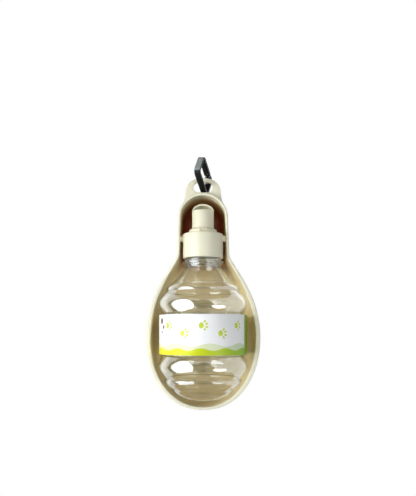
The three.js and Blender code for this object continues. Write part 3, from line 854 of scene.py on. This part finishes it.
stageSetup = {
    "floorDrop": 0.42, "floorNear": 0.9, "floorFade": (0.25, 1.1), "ambient": 0.12,
    "lamps": (  # name, place, size, power
        ("keyBox", (-0.70, -0.40, -0.08), (0.36, 0.36), 5.4),
        ("frontBox", (0.25, -1.15, -0.05), (1.0, 0.9), 6.0),
        ("backBox", (0.55, 1.1, 0.25), (1.2, 1.2), 9.0),
    ),
    "cards": (  # what mirrors see: name, place, size, colour, strength, softness of the edge
        ("keyCard", (-0.306, -0.233, -0.180), (0.50, 0.86), "#EEF6FF", 4.5, 0.2),
        ("keyFrame", (-0.315, -0.240, -0.182), (0.80, 1.20), "#181D1A", 1.0, 0.1),
        ("sideCard", (-0.277, 0.165, -0.110), (0.30, 0.60), "#FFFFFF", 1.6, 0.5),
        ("fillCard", (0.228, -0.246, -0.297), (0.27, 0.17), "#FFFFFF", 5.0, 0.4),
        ("cameraDark", (0.008, -0.400, -0.250), (0.44, 1.40), "#14201C", 1.0, 0.2),  # the dark room
        ("warmCeiling", (0, -0.05, 0.25), (0.8, 0.8), "#CDB382", 0.8, 0.1),
        ("warmGround", (0, -0.05, -0.45), (0.8, 0.8), "#CDB382", 0.8, 0.1),
    ),
    "aim": (0, -0.03, -0.11),
    "eye": (0, -0.5319, -0.1336), "pitch": 2.1, "lens": 41.73, "shift": (0.0101, 0.1248),
}


def facing(place, aim):
    return (Vector(aim) - Vector(place)).to_track_quat('-Z', 'Y').to_euler()


def softBox(name, place, size, power):  # its light is seen in mirrors as a card
    bpy.ops.object.light_add(type='AREA', location=place, rotation=facing(place, stageSetup["aim"]))
    lamp = bpy.context.object
    lamp.name = name
    lamp.data.shape = 'RECTANGLE'
    lamp.data.size, lamp.data.size_y = size
    lamp.data.energy = power
    lamp.visible_glossy = False


def mirrorCard(name, place, size, colour, strength, softness):  # an oval that only mirrors see
    bpy.ops.object.select_all(action='DESELECT')
    bpy.ops.mesh.primitive_plane_add(size=1, location=place, rotation=facing(place, stageSetup["aim"]))
    card = bpy.context.object
    card.name = name
    card.scale = (*size, 1)
    bpy.ops.object.transform_apply(location=True, rotation=True, scale=True)
    material, tree, at = newMaterial(name + "Cloth")
    nap = addNode(tree, "TexNoise", {"Vector": at, "Scale": perMm(40)}).outputs["Fac"]
    level = addNode(tree, "MapRange", {
        "Value": nap, "To Min": strength * 0.95, "To Max": strength}).outputs["Result"]
    glow = addNode(tree, "Emission", {"Color": linear(colour), "Strength": level}).outputs[0]
    flat = addNode(tree, "TexCoord").outputs["UV"]
    across = addNode(tree, "VectorMath", {0: flat, 1: (0.5, 0.5, 0)}, operation='DISTANCE').outputs["Value"]
    beyond = addNode(tree, "MapRange", {
        "Value": across, "From Min": 0.5 * (1 - softness), "From Max": 0.5},
        interpolation_type='SMOOTHSTEP').outputs["Result"]
    clear = addNode(tree, "BsdfTransparent").outputs[0]
    finishMaterial(tree, addNode(tree, "MixShader", {0: beyond, 1: glow, 2: clear}).outputs[0])
    wear(card, material)
    card.visible_camera = card.visible_diffuse = card.visible_shadow = False


def whiteRays(tree):  # 1 for the rays that look straight, in a mirror or through the bottle at the backdrop
    path = addNode(tree, "LightPath")
    seen = path.outputs["Is Camera Ray"]
    for kind in ("Is Glossy Ray", "Is Transmission Ray"):
        seen = addNode(tree, "Math", {0: seen, 1: path.outputs[kind]}, operation='MAXIMUM').outputs[0]
    return seen


def makeFloor(s):  # pale, keeps a soft shadow under the object and runs out to plain white
    bpy.ops.object.select_all(action='DESELECT')
    bpy.ops.mesh.primitive_plane_add(size=12, location=(0, 0, cadBox[0][2] - s["floorDrop"]))
    floor = bpy.context.object
    floor.name = "floor"
    bpy.ops.object.transform_apply(location=True, rotation=True, scale=True)
    material, tree, place = newMaterial("paleFloor")
    flat = addNode(tree, "VectorMath", {0: place, 1: (1, 1, 0)}, operation='MULTIPLY').outputs["Vector"]
    away = addNode(tree, "VectorMath", {0: flat}, operation='LENGTH').outputs["Value"]
    glowing = addNode(tree, "MapRange", {
        "Value": away, "From Min": s["floorFade"][0], "From Max": s["floorFade"][1],
        "To Min": s["floorNear"], "To Max": 1.0}, interpolation_type='SMOOTHSTEP').outputs["Result"]
    plain = addNode(tree, "BsdfDiffuse", {"Color": linear("#F4F4F2")}).outputs[0]
    glow = addNode(tree, "Emission", {"Color": (1, 1, 1, 1), "Strength": 1.0}).outputs[0]
    share = addNode(tree, "Math", {0: whiteRays(tree), 1: glowing}, operation='MULTIPLY').outputs[0]
    finishMaterial(tree, addNode(tree, "MixShader", {0: share, 1: plain, 2: glow}).outputs[0])
    wear(floor, material)


def setStage():
    s = stageSetup
    makeFloor(s)
    world = bpy.data.worlds.new("studio")
    bpy.context.scene.world = world
    world.use_nodes = True
    world.node_tree.nodes.clear()
    level = addNode(world.node_tree, "MapRange", {
        "Value": whiteRays(world.node_tree), "To Min": s["ambient"], "To Max": 1.0}).outputs["Result"]
    sky = addNode(world.node_tree, "Background", {"Color": (1, 1, 1, 1), "Strength": level}).outputs[0]
    addNode(world.node_tree, "OutputWorld", {"Surface": sky})
    for lamp in s["lamps"]:
        softBox(*lamp)
    for card in s["cards"]:
        mirrorCard(*card)
    bpy.ops.object.camera_add(location=s["eye"], rotation=(math.radians(90 + s["pitch"]), 0, 0))
    camera = bpy.context.object
    camera.data.lens = s["lens"]
    camera.data.shift_x, camera.data.shift_y = s["shift"]
    bpy.context.scene.camera = camera
    bpy.context.scene.view_settings.view_transform = 'Standard'


setStage()
print("stage set")
